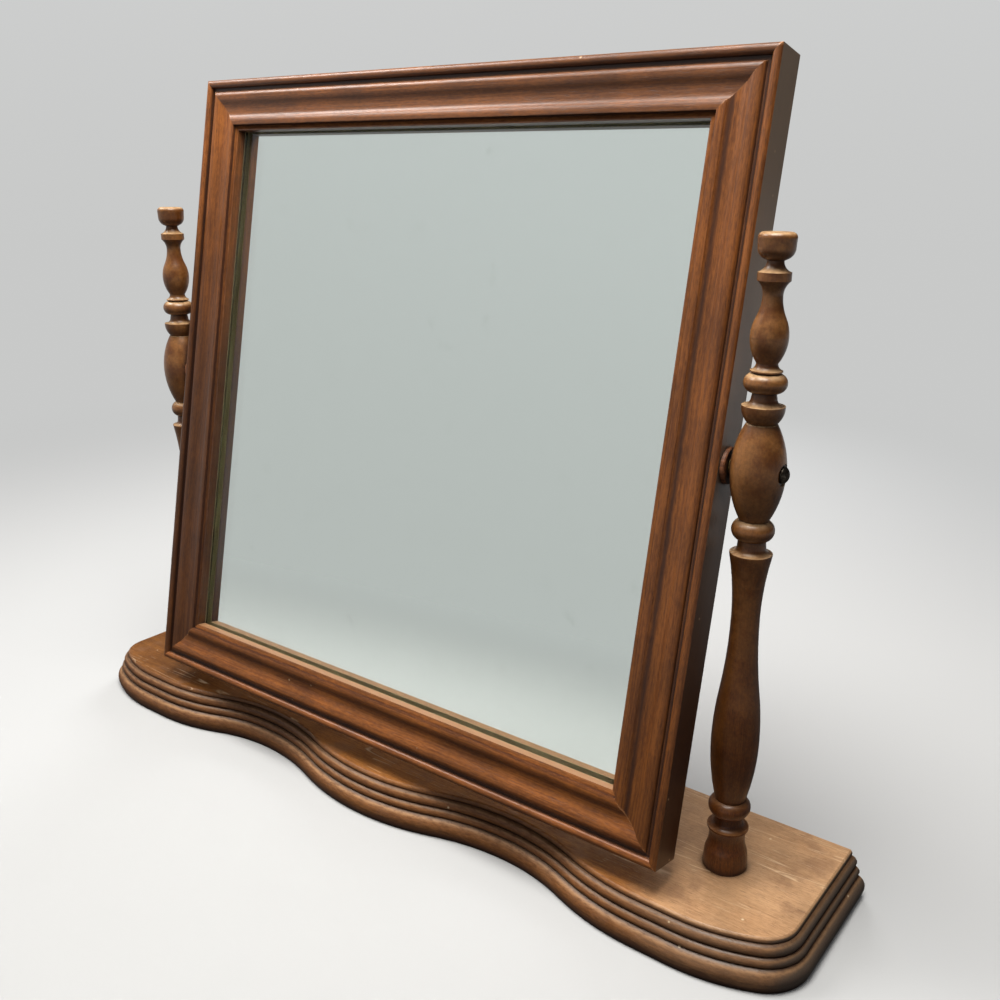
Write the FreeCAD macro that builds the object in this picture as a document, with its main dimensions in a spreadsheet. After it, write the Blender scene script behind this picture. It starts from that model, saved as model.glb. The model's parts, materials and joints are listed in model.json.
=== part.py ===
import FreeCAD, Part
import os
from math import sqrt

import Sketcher
from FreeCAD import Placement, Rotation, Vector

# A free-standing dressing-table mirror: a moulded square frame that swings on two
# pivot screws between a pair of turned posts, which stand on a reeded base with a
# serpentine front.  Millimetres and degrees.  X runs along the base, -Y is the
# front, +Z is up, and the origin is the middle of the base's underside.

# ---------------------------------------------------------------- driving sizes

FRAME = {
    "frame_width": 353.0,
    "frame_height": 351.0,
    "frame_thickness": 19.1,
    "rest_tilt": 10.9,                # the top leans back
    "pivot_above_centre": 6.85,
    "base_clearance": 9.25,           # upright frame's bottom edge to the base top
    "rabbet_ledge": 4.0,              # how far the lip covers the glass
    "rabbet_front": 8.65,              # front of the frame to the front of the glass
    "glass_thickness": 4.8,
    "backing_thickness": 3.0,
    "pane_slack": 0.5,                # each edge of glass and backing in the rabbet
    "bead_edge_drop": 1.1,            # where the outer bead meets the flat side
}

# The frame's moulding, from its outer edge inward: how far across each stretch
# runs, and how far its end lies behind the front of the frame.
MOULDING = [
    ("bead_top", 2.0, 0.0, "level_end"),
    ("bead_inner", 2.2, 2.0, "level_start"),
    ("quirk_outer", 0.2, 2.6, "line"),
    ("quirk_inner", 1.6, 2.6, "line"),
    ("shoulder_foot", 0.4, 1.9, "line"),
    ("shoulder_top", 2.4, 0.7, "level_end"),
    ("cove_turn", 3.7, 1.9, "level_start"),
    ("cove_floor", 3.5, 3.0, "level_end"),
    ("valley_end", 2.0, 3.0, "line"),
    ("ogee_turn", 3.2, 1.5, "level_start"),
    ("ogee_top", 1.9, 1.15, "level_end"),
    ("ogee_arris", 1.9, 1.4, "level_start"),
    ("lip_foot", 0.4, 2.7, "line"),
    ("lip_arris", 2.4, 3.4, "line"),
]

# The posts, from the base top to the shaft and from the shaft to the finial: how
# far each stretch of the turning rises, and the radius that it ends on.
LOW_TURNING = [
    ("foot_swell", 3.2, 10.2, "level_end"),
    ("foot_slope", 6.4, 9.5, "level_start"),
    ("foot_cove", 6.4, 8.2, "level_end"),
    ("low_rim_under", 4.7, 9.5, "level_start"),
    ("low_rim", 0.8, 9.5, "line"),
    ("low_dish", 3.0, 6.3, "level_end"),
    ("low_neck", 2.4, 6.0, "line"),
    ("low_ring", 4.9, 9.6, "level_end"),
    ("low_groove", 3.9, 6.9, "level_start"),
]
# The shaft fills the height between the turnings; its rises are shares of that.
SHAFT = [
    ("shaft_swell", 0.25, 10.7, "level_end"),
    ("shaft_turn", 0.21, 8.7, "level_start"),
    ("shaft_waist", 0.30, 6.15, "level_end"),
    ("shaft_flare", 0.24, 9.1, "level_start"),
]
MID_TURNING = [
    ("mid_rim", 0.6, 9.1, "line"),
    ("mid_dish", 2.9, 6.1, "level_end"),
    ("mid_neck", 2.8, 5.9, "line"),
    ("mid_ring", 4.6, 9.1, "level_end"),
    ("mid_groove", 4.3, 6.2, "level_start"),
    ("bulb", 21.4, 11.6, "level_end"),
]
TOP_TURNING = [
    ("bulb_top", 19.9, 6.6, "level_start"),
    ("cup_foot", 0.4, 6.1, "line"),
    ("cup_flare", 6.8, 8.9, "level_end"),
    ("cup_rim", 0.6, 8.9, "line"),
    ("cup_dish", 3.1, 5.3, "level_end"),
    ("cup_neck", 2.1, 4.9, "line"),
    ("upper_ring", 4.1, 8.9, "level_end"),
    ("upper_groove", 3.9, 5.6, "level_start"),
    ("disc_under", 0.7, 6.6, "line"),
    ("disc_rim", 0.5, 6.6, "line"),
    ("vase_foot", 2.9, 4.4, "level_end"),
    ("vase_swell", 10.6, 7.7, "level_end"),
    ("vase_turn", 7.5, 6.0, "level_start"),
    ("vase_neck", 8.9, 4.0, "level_end"),
    ("crown_flare", 5.6, 6.65, "level_start"),
    ("crown_rim", 3.3, 6.65, "line"),
    ("crown_neck", 4.4, 3.3, "level_end"),
    ("cap_under", 0.7, 4.8, "line"),
    ("cap_side", 4.2, 7.4, "level_end"),
    ("cap_edge", 3.8, 7.6, "line"),
    ("cap_top", 2.2, 5.8, "level_start"),
]
POST = {
    "foot_radius": 10.1,
    "tenon_radius": 7.0,
    "tenon_length": 14.0,
    "tenon_relief": 0.5,              # room under the tenon
    "tenon_slack": 0.05,
}

BASE = {
    "base_depth": 100.1,
    "base_thickness": 22.6,
    "post_to_end": 43.6,              # post axis to the end of the flat top
    "post_to_back": 46.7,
    "centre_to_recess": 89.0,
    "recess_depth": 15.3,
    "end_lobe_inset": 64.1,           # from the end of the flat top
    "shoulder_inset": 46.1,
    "shoulder_radius": 86.0,
    "corner_radius": 17.0,
    "edge_root": 5.0,                 # how deep the moulded edge joins the board
}

# The reeded edge, from the rim of the flat top downward: how far each round falls,
# and how far out of the rim it ends.  The reeds' radii follow, then the nose.
REEDS = [
    ("first_reed", 2.7, 1.0, 2.1),
    ("second_reed", 5.0, 3.2, 3.1),
    ("third_reed", 4.3, 5.0, 2.65),
]
NOSE = {
    "nose_fall": 5.2,
    "nose_out": 8.8,
    "nose_foot_out": 7.5,
}

FITTINGS = {
    "pivot_gap": 2.4,                 # side of the frame to the bulb
    "pivot_radius": 2.0,
    "pivot_slack": 0.05,              # running fit of the screw in the post
    "pivot_reach": 10.5,              # how far the screw goes into the frame
    "pivot_head_radius": 3.6,
    "pivot_head_rim": 0.6,
    "pivot_head_dome": 2.0,
    "turning_gap": 0.3,               # between faces that turn past each other
    "seat_depth": 0.95,               # flats cut on the bulb
    "seat_radius": 4.7,
    "washer_radius": 4.5,
    "washer_thickness": 0.8,
    "spacer_radius": 8.0,
    "spacer_rim": 0.4,
    "insert_radius": 4.0,
    "insert_length": 13.0,
    "drive_slack": 0.02,              # a driven or screwed piece in its hole
    "slot_width": 0.9,
    "slot_depth": 0.8,
    "post_screw_radius": 2.1,
    "post_screw_length": 30.0,
    "post_screw_head": 4.2,
    "post_screw_point": 3.0,
    "post_screw_slack": 0.15,
    "post_screw_sunk": 1.0,
    "nail_radius": 0.8,
    "nail_length": 34.0,
    "nail_sunk": 0.6,
    "nail_drop": 12.5,                # behind the front of the frame
    "nail_inset": 7.0,                # first nail to the side of the frame
    "nail_pitch": 8.0,
    "brad_radius": 0.6,
    "brad_length": 13.0,
    "brad_bite": 7.0,
    "brad_spread": 100.0,             # each way from the middle of a rail
}

doc = FreeCAD.newDocument("swing_mirror")
sheet = doc.addObject("Spreadsheet::Sheet", "sizes")


class Length:
    """A value together with the spreadsheet expression that gives it."""

    def __init__(self, text, value):
        self.text = text
        self.value = value

    def __add__(self, other):
        return Length("(%s + %s)" % (self.text, other.text), self.value + other.value)

    def __sub__(self, other):
        return Length("(%s - %s)" % (self.text, other.text), self.value - other.value)

    def __neg__(self):
        return Length("(-%s)" % self.text, -self.value)

    def __mul__(self, other):
        return Length("(%s * %s)" % (self.text, other.text), self.value * other.value)

    def times(self, number):
        return Length("(%s * %s)" % (self.text, number), self.value * number)


ZERO = Length("0", 0.0)


def cell(name):
    """The size of that name, as it stands in the spreadsheet."""
    return Length("sizes." + name, float(sheet.get(name)))


def fill_sheet():
    """Write every driving size into the spreadsheet, one row and alias each."""
    sizes = {}
    for group in (FRAME, POST, BASE, NOSE, FITTINGS):
        sizes.update(group)
    for name, across, drop, form in MOULDING:
        sizes[name + "_across"] = across
        sizes[name + "_drop"] = drop
    for name, rise, radius, form in LOW_TURNING + MID_TURNING + TOP_TURNING:
        sizes[name + "_rise"] = rise
        sizes[name + "_radius"] = radius
    for name, share, radius, form in SHAFT:
        sizes[name + "_share"] = share
        sizes[name + "_radius"] = radius
    for name, fall, out, radius in REEDS:
        sizes[name + "_fall"] = fall
        sizes[name + "_out"] = out
        sizes[name + "_radius"] = radius
    for row, (name, value) in enumerate(sizes.items(), 1):
        sheet.set("A%d" % row, name)
        sheet.set("B%d" % row, str(value))
        sheet.setAlias("B%d" % row, name)
    doc.recompute()


# ------------------------------------------------------------- drawing helpers

def new_body(name):
    body = doc.addObject("PartDesign::Body", name)
    body.Label = name
    return body


def origin_plane(body, role):
    return [item for item in body.Origin.OriginFeatures if item.Role == role][0]


def new_sketch(body, name, role, raised=None, turned=0.0):
    """A sketch on one of the body's origin planes, raised along its normal."""
    sketch = body.newObject("Sketcher::SketchObject", name)
    sketch.AttachmentSupport = (origin_plane(body, role), "")
    sketch.MapMode = "FlatFace"
    sketch.AttachmentOffset = Placement(Vector(), Rotation(Vector(0, 0, 1), turned))
    if raised:
        sketch.setExpression("AttachmentOffset.Base.z", raised.text)
    return sketch


def pin(sketch, kind, value, first, second=(-1, 1)):
    """Hold two points of a sketch apart by a size, measured from the second."""
    where = (second[0], second[1], first[0], first[1])
    index = sketch.addConstraint(Sketcher.Constraint(kind, *where, value.value))
    sketch.setExpression("Constraints[%d]" % index, value.text)


def arc_about(centre, start, end):
    """The shorter arc between two points at the same distance from a centre."""
    towards = (start - centre) + (end - centre)
    middle = centre + towards.normalize() * (start - centre).Length
    return Part.Arc(start, middle, end)


def level_arc(start, end, level_at_start):
    """The arc between two points that runs straight up or down at one of them."""
    level, other = (start, end) if level_at_start else (end, start)
    run = other - level
    reach = (run.x ** 2 + run.y ** 2) / (2 * run.x)
    return arc_about(level + Vector(reach, 0, 0), start, end)


def round_arc(start, end, radius):
    """The arc of that radius between two points that bulges towards +x."""
    half = (end - start) * 0.5
    inward = Vector(-abs(half.y), half.x if half.y > 0 else -half.x, 0).normalize()
    centre = start + half + inward * sqrt(radius ** 2 - half.Length ** 2)
    return arc_about(centre, start, end)


class Outline:
    """A chain of lines and arcs in a sketch, with each corner pinned to sizes.

    A corner is given by its x and by the rise from the corner before it.  A level
    arc runs straight up or down where it starts or where it ends, and a round one
    has a radius of its own.
    """

    def __init__(self, sketch, x, y):
        self.sketch = sketch
        self.corner = (x, y)
        self.here = Vector(x.value, y.value, 0)
        self.first = None
        self.last = None

    def draw(self, shape, join="Coincident"):
        """Add an edge that starts where the chain stands; return its two ends."""
        edge = self.sketch.addGeometry(shape)
        forward = self.sketch.getPoint(edge, 1).distanceToPoint(self.here) < 1e-6
        start, finish = ((edge, 1), (edge, 2)) if forward else ((edge, 2), (edge, 1))
        if self.last:
            self.sketch.addConstraint(Sketcher.Constraint(join, *self.last, *start))
        else:
            self.first = start
            pin(self.sketch, "DistanceX", self.corner[0], start)
            pin(self.sketch, "DistanceY", self.corner[1], start)
        self.last = finish
        self.here = self.sketch.getPoint(*finish)
        return start, finish

    def level(self, end):
        """Put an arc's centre on the level of one of its ends."""
        edge = end[0]
        self.sketch.addConstraint(Sketcher.Constraint("Horizontal", edge, 3, *end))

    def radius(self, edge, radius):
        index = self.sketch.addConstraint(
            Sketcher.Constraint("Radius", edge, radius.value))
        self.sketch.setExpression("Constraints[%d]" % index, radius.text)

    def go(self, x, rise, form="line", radius=None):
        target = Vector(x.value, self.here.y + rise.value, 0)
        if form == "line":
            shape = Part.LineSegment(self.here, target)
        elif form == "round":
            shape = round_arc(self.here, target, radius.value)
        else:
            shape = level_arc(self.here, target, form == "level_start")
        start, finish = self.draw(shape)
        pin(self.sketch, "DistanceX", x, finish)
        pin(self.sketch, "DistanceY", rise, finish, start)
        if form == "round":
            self.radius(start[0], radius)
        elif form != "line":
            self.level(start if form == "level_start" else finish)

    def close(self):
        goal = self.sketch.getPoint(*self.first)
        finish = self.draw(Part.LineSegment(self.here, goal))[1]
        self.sketch.addConstraint(
            Sketcher.Constraint("Coincident", *finish, *self.first))


def polygon(sketch, corners):
    """A closed polygon whose corners are pairs of lengths."""
    outline = Outline(sketch, *corners[0])
    for before, after in zip(corners, corners[1:]):
        outline.go(after[0], after[1] - before[1])
    outline.close()


def circle(sketch, x, y, radius):
    edge = sketch.addGeometry(
        Part.Circle(Vector(x.value, y.value, 0), Vector(0, 0, 1), radius.value))
    pin(sketch, "DistanceX", x, (edge, 3))
    pin(sketch, "DistanceY", y, (edge, 3))
    index = sketch.addConstraint(Sketcher.Constraint("Radius", edge, radius.value))
    sketch.setExpression("Constraints[%d]" % index, radius.text)


def pad(body, sketch, length, midplane=False, backward=False):
    feature = body.newObject("PartDesign::Pad", sketch.Name + "_pad")
    feature.Profile = sketch
    feature.setExpression("Length", length.text)
    feature.Midplane = midplane
    feature.Reversed = backward
    return feature


def pocket(body, sketch, depth=None, forward=False):
    """Cut a sketch against its normal, or along it, or through both ways."""
    feature = body.newObject("PartDesign::Pocket", sketch.Name + "_pocket")
    feature.Profile = sketch
    if depth:
        feature.setExpression("Length", depth.text)
    else:
        feature.Type = "ThroughAll"
        feature.Midplane = True
    feature.Reversed = forward
    return feature


def turn(body, sketch, kind, axis):
    """Revolve a sketch about its own upright (V) or level (H) axis."""
    feature = body.newObject("PartDesign::" + kind, sketch.Name + "_turned")
    feature.Profile = sketch
    feature.ReferenceAxis = (sketch, [axis])
    feature.Angle = 360
    return feature


def vector(x, y, z):
    return Vector(x.value, y.value, z.value)


# --------------------------------------------------- sizes worked out from sizes

def total(stations, measure):
    """The sum of one measure over a list of stations."""
    whole = ZERO
    for station in stations:
        whole = whole + cell(station[0] + measure)
    return whole


def moulding_width():
    return total(MOULDING, "_across")


def rabbet_reach():
    """From the outer edge of the frame to the wall of its rabbet."""
    return moulding_width() - cell("rabbet_ledge")


def pivot_rise():
    """From the base top to the pivots."""
    upper = cell("frame_height").times(0.5) + cell("pivot_above_centre")
    return cell("base_clearance") + upper


def post_x():
    gap = cell("pivot_gap") + cell("bulb_radius")
    return cell("frame_width").times(0.5) + gap


def post_y():
    return cell("base_depth").times(0.5) - cell("post_to_back")


def screw_rise():
    """From the base top to the point of a post screw."""
    point = cell("post_screw_sunk") + cell("post_screw_length")
    return point - cell("base_thickness")


def frame_placement():
    """From the frame's own axes, front face at y = 0, to where it hangs."""
    pivot = vector(ZERO, post_y(), cell("base_thickness") + pivot_rise())
    tilt = Rotation(Vector(1, 0, 0), -cell("rest_tilt").value)
    middle = vector(ZERO, cell("frame_thickness").times(-0.5), -cell("pivot_above_centre"))
    return Placement(pivot, tilt) * Placement(middle, Rotation())


def pivot_placement(side):
    """On the frame's side face at the pivot, +X pointing out to the post."""
    half_width = cell("frame_width").times(0.5 * side)
    half_depth = cell("frame_thickness").times(0.5)
    on_side = vector(half_width, half_depth, cell("pivot_above_centre"))
    return frame_placement() * Placement(on_side, facing(side))


def facing(side):
    return Rotation(Vector(0, 0, 1), 0 if side > 0 else 180)


# ------------------------------------------------------------------------- base

def draw_rim(sketch, back, front, end):
    """The right half of the flat top's rim, with x to the front and y to the right.

    It runs forward along the end, round the corner and the shoulder, and then
    along the front in level arcs to the middle; returns how many edges that is.
    """
    rim = Outline(sketch, back, end)
    inset = cell("shoulder_inset")
    shoulder = cell("shoulder_radius")
    corner = cell("corner_radius")
    shoulder_centre = vector(front - shoulder, end - inset, ZERO)
    along = inset.value - corner.value
    apart = shoulder.value - corner.value
    reach = Vector(sqrt(apart ** 2 - along ** 2), along, 0)
    corner_centre = shoulder_centre + reach
    meeting = shoulder_centre + reach * (shoulder.value / apart)
    corner_start = Vector(corner_centre.x, end.value, 0)
    front_start = vector(front, end - inset, ZERO)
    end_line = rim.draw(Part.LineSegment(rim.here, corner_start))[0][0]
    sketch.addConstraint(Sketcher.Constraint("Horizontal", end_line))
    corner_arc = rim.draw(arc_about(corner_centre, corner_start, meeting), "Tangent")
    rim.radius(corner_arc[0][0], corner)
    finish = rim.draw(arc_about(shoulder_centre, meeting, front_start), "Tangent")[1]
    rim.radius(finish[0], shoulder)
    rim.level(finish)
    pin(sketch, "DistanceX", front, finish)
    pin(sketch, "DistanceY", end - inset, finish)
    lobe = end - cell("end_lobe_inset")
    rim.go(front, cell("shoulder_inset") - cell("end_lobe_inset"))
    recess = cell("centre_to_recess")
    halfway = front - cell("recess_depth").times(0.5)
    rim.go(halfway, (recess - lobe).times(0.5), "level_start")
    rim.go(front - cell("recess_depth"), (recess - lobe).times(0.5), "level_end")
    rim.go(halfway, recess.times(-0.5), "level_start")
    rim.go(front, recess.times(-0.5), "level_end")
    edges = rim.last[0] + 1
    rim.go(back, ZERO)
    rim.close()
    return edges


def draw_reeds(sketch, end):
    """The section of the moulded edge, reeds above the nose, with x outward."""
    thickness = cell("base_thickness")
    section = Outline(sketch, end, thickness)
    for name, fall, out, radius in REEDS:
        x = end + cell(name + "_out")
        section.go(x, -cell(name + "_fall"), "round", cell(name + "_radius"))
    section.go(end + cell("nose_out"), -cell("nose_fall"), "level_end")
    down = thickness - total(REEDS, "_fall") - cell("nose_fall")
    section.go(end + cell("nose_foot_out"), -down, "level_start")
    section.go(end, ZERO)
    root = cell("edge_root")
    section.go(end - root, root)
    section.go(end - root, thickness - root.times(2))
    section.close()


def bore_base(body):
    """The mortises for the posts, and countersunk screw holes under them."""
    mortises = new_sketch(body, "mortises", "XY_Plane", cell("base_thickness"))
    screw_holes = new_sketch(body, "screw_holes", "XY_Plane")
    fit = cell("tenon_radius") + cell("tenon_slack")
    clearance = cell("post_screw_radius") + cell("post_screw_slack")
    for side in (-1, 1):
        circle(mortises, post_x().times(side), post_y(), fit)
        circle(screw_holes, post_x().times(side), post_y(), clearance)
    pocket(body, mortises, cell("tenon_length") + cell("tenon_relief"))
    doc.recompute()
    hole = body.newObject("PartDesign::Hole", "countersunk_holes")
    hole.Profile = screw_holes
    hole.Reversed = True
    hole.ThreadType = "None"
    hole.HoleCutType = "Countersink"
    hole.HoleCutCountersinkAngle = 90
    hole.DepthType = "Dimension"
    hole.setExpression("Depth", cell("base_thickness").text)
    hole.setExpression("Diameter", clearance.times(2).text)
    mouth = cell("post_screw_head") + cell("post_screw_sunk")
    hole.setExpression("HoleCutDiameter", mouth.times(2).text)


def build_base():
    body = new_body("base_board")
    back = cell("base_depth").times(-0.5)
    front = cell("base_depth").times(0.5) - cell("nose_out")
    end = post_x() + cell("post_to_end")
    rim = new_sketch(body, "rim", "XY_Plane", cell("base_thickness"), -90)
    edges = draw_rim(rim, back, front, end)
    board = pad(body, rim, cell("base_thickness"), backward=True)
    reeds = new_sketch(body, "reeds", "XZ_Plane", back)
    draw_reeds(reeds, end)
    moulded_edge = body.newObject("PartDesign::AdditivePipe", "moulded_edge")
    moulded_edge.Profile = reeds
    moulded_edge.Spine = (rim, ["Edge%d" % (number + 1) for number in range(edges)])
    halves = body.newObject("PartDesign::Mirrored", "both_halves")
    halves.Originals = [board, moulded_edge]
    halves.MirrorPlane = (origin_plane(body, "YZ_Plane"), [""])
    body.Tip = halves
    bore_base(body)
    return body


# ------------------------------------------------------------------------ posts

def draw_turning(outline, stations):
    for name, rise, radius, form in stations:
        outline.go(cell(name + "_radius"), cell(name + "_rise"), form)


def draw_post(sketch):
    """Half the post's section, from the pilot hole round to the top of the cap."""
    pilot = cell("post_screw_radius") + cell("drive_slack")
    tenon = cell("tenon_length")
    outline = Outline(sketch, ZERO, screw_rise())
    outline.go(pilot, ZERO)
    outline.go(pilot, -(screw_rise() + tenon))
    outline.go(cell("tenon_radius"), ZERO)
    outline.go(cell("tenon_radius"), tenon)
    outline.go(cell("foot_radius"), ZERO)
    draw_turning(outline, LOW_TURNING)
    turnings = total(LOW_TURNING, "_rise") + total(MID_TURNING, "_rise")
    shaft = pivot_rise() - turnings
    for name, share, radius, form in SHAFT:
        outline.go(cell(name + "_radius"), shaft * cell(name + "_share"), form)
    draw_turning(outline, MID_TURNING)
    draw_turning(outline, TOP_TURNING)
    outline.go(ZERO, ZERO)
    outline.close()


def bore_post(body):
    """The pivot's bore through the bulb, with a flat seat round each mouth."""
    sketch = new_sketch(body, "pivot_bore", "XZ_Plane")
    sketch.setExpression("AttachmentOffset.Base.y", pivot_rise().text)
    bore = cell("pivot_radius") + cell("pivot_slack")
    seat = cell("bulb_radius") - cell("seat_depth")
    outside = cell("bulb_radius") + cell("seat_depth")
    mouth = cell("seat_radius")
    polygon(sketch, [
        (-outside, ZERO), (outside, ZERO), (outside, mouth), (seat, mouth),
        (seat, bore), (-seat, bore), (-seat, mouth), (-outside, mouth)])
    turn(body, sketch, "Groove", "H_Axis")


def build_post(name, side):
    body = new_body(name)
    sketch = new_sketch(body, "turning", "XZ_Plane")
    draw_post(sketch)
    turn(body, sketch, "Revolution", "V_Axis")
    bore_post(body)
    foot = vector(post_x().times(side), post_y(), cell("base_thickness"))
    body.Placement = Placement(foot, facing(side))
    return body


def cut_slot(body, role, raised, into):
    """A screwdriver slot across a head, cut from a plane along or against it."""
    sketch = new_sketch(body, "slot", role, raised)
    wide = cell("slot_width").times(0.5)
    long = cell("post_screw_head").times(2)
    polygon(sketch, [(-wide, -long), (wide, -long), (wide, long), (-wide, long)])
    pocket(body, sketch, cell("slot_depth"), forward=into)


def build_post_screw(name, side):
    """A countersunk wood screw, up through the board into the post."""
    body = new_body(name)
    shank = cell("post_screw_radius")
    head = cell("post_screw_head")
    straight = cell("post_screw_length") - (head - shank) - cell("post_screw_point")
    sketch = new_sketch(body, "section", "XZ_Plane")
    outline = Outline(sketch, ZERO, cell("post_screw_sunk"))
    outline.go(head, ZERO)
    outline.go(shank, head - shank)
    outline.go(shank, straight)
    outline.go(ZERO, cell("post_screw_point"))
    outline.close()
    turn(body, sketch, "Revolution", "V_Axis")
    cut_slot(body, "XY_Plane", cell("post_screw_sunk"), True)
    body.Placement = Placement(vector(post_x().times(side), post_y(), ZERO), facing(side))
    return body


# ------------------------------------------------------------------------ frame

def draw_moulding(sketch, half):
    """The rail's section, x behind the frame's front and y from its middle."""
    thickness = cell("frame_thickness")
    outline = Outline(sketch, cell("bead_edge_drop"), half)
    for name, across, drop, form in MOULDING:
        outline.go(cell(name + "_drop"), -cell(name + "_across"), form)
    outline.go(cell("rabbet_front"), ZERO)
    outline.go(cell("rabbet_front"), cell("rabbet_ledge"))
    outline.go(thickness, ZERO)
    outline.go(thickness, rabbet_reach())
    outline.close()


def cut_mitres(body, half_length, half):
    """Cut both ends of a rail at 45 degrees, through its outer corners."""
    sketch = new_sketch(body, "mitres", "XZ_Plane")
    over = moulding_width()
    for side in (-1, 1):
        outer = (half_length + over).times(side)
        inner = (half_length - over.times(2)).times(side)
        low = half - over.times(2)
        polygon(sketch, [(outer, half + over), (inner, low), (outer, low)])
    pocket(body, sketch)


def nail_insets():
    first = cell("nail_inset")
    return (first, first + cell("nail_pitch"))


def nail_depth():
    return cell("nail_sunk") + cell("nail_length")


def bore_brads(body, half):
    """Holes in the rabbet's wall for the brads that hold the backing."""
    sketch = new_sketch(body, "brad_holes", "XY_Plane", half - rabbet_reach())
    fit = cell("brad_radius") + cell("drive_slack")
    for side in (-1, 1):
        circle(sketch, cell("brad_spread").times(side), brad_drop(), fit)
    pocket(body, sketch, cell("brad_bite"), forward=True)


def brad_drop():
    """From the front of the frame to the middle of the brads on the backing."""
    back = cell("rabbet_front") + cell("glass_thickness") + cell("backing_thickness")
    return back + cell("brad_radius")


def bore_across(body, half_length, half):
    """Nail holes down through both ends of a rail, into the stiles."""
    sketch = new_sketch(body, "nail_holes", "XY_Plane", half)
    fit = cell("nail_radius") + cell("drive_slack")
    for inset in nail_insets():
        for side in (-1, 1):
            circle(sketch, (half_length - inset).times(side), cell("nail_drop"), fit)
    pocket(body, sketch, nail_depth())


def bore_along(body, half_length, half):
    """The same nails' holes along a stile, from each of its ends."""
    fit = cell("nail_radius") + cell("drive_slack")
    for side in (-1, 1):
        sketch = new_sketch(body, "nail_holes", "YZ_Plane", half_length.times(side))
        for inset in nail_insets():
            circle(sketch, cell("nail_drop"), half - inset, fit)
        pocket(body, sketch, nail_depth(), forward=side < 0)


def bore_insert(body, along, half):
    """The hole in a stile's side for its threaded insert."""
    sketch = new_sketch(body, "insert_hole", "XY_Plane", half)
    fit = cell("insert_radius") + cell("drive_slack")
    circle(sketch, along, cell("frame_thickness").times(0.5), fit)
    pocket(body, sketch, cell("insert_length"))


def build_member(name, long_way, other_way, turned):
    """One side of the frame, drawn as its top member and turned to its place."""
    body = new_body(name)
    half_length = cell(long_way).times(0.5)
    half = cell(other_way).times(0.5)
    section = new_sketch(body, "moulding", "YZ_Plane")
    draw_moulding(section, half)
    pad(body, section, cell(long_way), midplane=True)
    cut_mitres(body, half_length, half)
    bore_brads(body, half)
    place = Placement(Vector(), Rotation(Vector(0, 1, 0), turned))
    body.Placement = frame_placement() * place
    return body, half_length, half


def build_rail(name, turned):
    body, half_length, half = build_member(name, "frame_width", "frame_height", turned)
    bore_across(body, half_length, half)
    return body


def build_stile(name, side):
    body, half_length, half = build_member(
        name, "frame_height", "frame_width", 90 * side)
    bore_along(body, half_length, half)
    bore_insert(body, cell("pivot_above_centre").times(-side), half)
    return body


def build_pane(name, thickness, drop):
    """A flat sheet in the rabbet, its front face a given drop behind the front."""
    pane = doc.addObject("Part::Box", name)
    pane.Label = name
    inset = (rabbet_reach() + cell("pane_slack")).times(2)
    width = cell("frame_width") - inset
    height = cell("frame_height") - inset
    pane.setExpression("Length", width.text)
    pane.setExpression("Width", cell(thickness).text)
    pane.setExpression("Height", height.text)
    corner = vector(width.times(-0.5), drop, height.times(-0.5))
    pane.Placement = frame_placement() * Placement(corner, Rotation())
    return pane


# --------------------------------------------------------------------- fittings

def pin_group(name, radius, length, places):
    """Identical headless pins, each standing along its own local Z."""
    pins = []
    for place in places:
        one = doc.addObject("Part::Cylinder", name + "_pin")
        one.setExpression("Radius", cell(radius).text)
        one.setExpression("Height", cell(length).text)
        one.Placement = frame_placement() * place
        pins.append(one)
    group = doc.addObject("Part::Compound", name)
    group.Label = name
    group.Links = pins
    return group


def build_nails():
    """Two nails through each mitre, down from the top rail and up from the bottom."""
    places = []
    for turned in (0, 180):
        upside = Placement(Vector(), Rotation(Vector(0, 1, 0), turned))
        foot = cell("frame_height").times(0.5) - nail_depth()
        for inset in nail_insets():
            for side in (-1, 1):
                x = (cell("frame_width").times(0.5) - inset).times(side)
                at = Placement(vector(x, cell("nail_drop"), foot), Rotation())
                places.append(upside * at)
    return pin_group("mitre_nails", "nail_radius", "nail_length", places)


def build_brads():
    """Two brads on each side of the backing, driven into the rabbet's wall."""
    places = []
    for turned in (0, 90, 180, 270):
        upright = turned in (0, 180)
        half = cell("frame_height" if upright else "frame_width").times(0.5)
        tip = half - rabbet_reach() + cell("brad_bite") - cell("brad_length")
        around = Placement(Vector(), Rotation(Vector(0, 1, 0), turned))
        for side in (-1, 1):
            x = cell("brad_spread").times(side)
            places.append(around * Placement(vector(x, brad_drop(), tip), Rotation()))
    return pin_group("backing_brads", "brad_radius", "brad_length", places)


def build_ring(name, outer, inner, length, place):
    """A plain ring round the pivot, from x = 0 outward."""
    body = new_body(name)
    sketch = new_sketch(body, "ring", "YZ_Plane")
    circle(sketch, ZERO, ZERO, outer)
    circle(sketch, ZERO, ZERO, inner)
    pad(body, sketch, length)
    body.Placement = place
    return body


def ease_rims(body, radius, size):
    """Chamfer the round edges of that radius."""
    doc.recompute()
    solid = body.Tip
    rims = []
    for number, edge in enumerate(solid.Shape.Edges, 1):
        round_edge = isinstance(edge.Curve, Part.Circle)
        if round_edge and abs(edge.Curve.Radius - radius.value) < 1e-6:
            rims.append("Edge%d" % number)
    chamfer = body.newObject("PartDesign::Chamfer", "eased_rims")
    chamfer.Base = (solid, rims)
    chamfer.setExpression("Size", size.text)


def washer_start():
    """From the side of the frame to the bulb's inner seat."""
    return cell("pivot_gap") + cell("seat_depth")


def build_washer(name, side):
    """On the bulb's seat, so it stays still while the frame turns."""
    thickness = cell("washer_thickness")
    start = vector(washer_start() - thickness, ZERO, ZERO)
    place = pivot_placement(side) * Placement(start, Rotation())
    bore = cell("pivot_radius") + cell("pivot_slack")
    return build_ring(name, cell("washer_radius"), bore, thickness, place)


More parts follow.
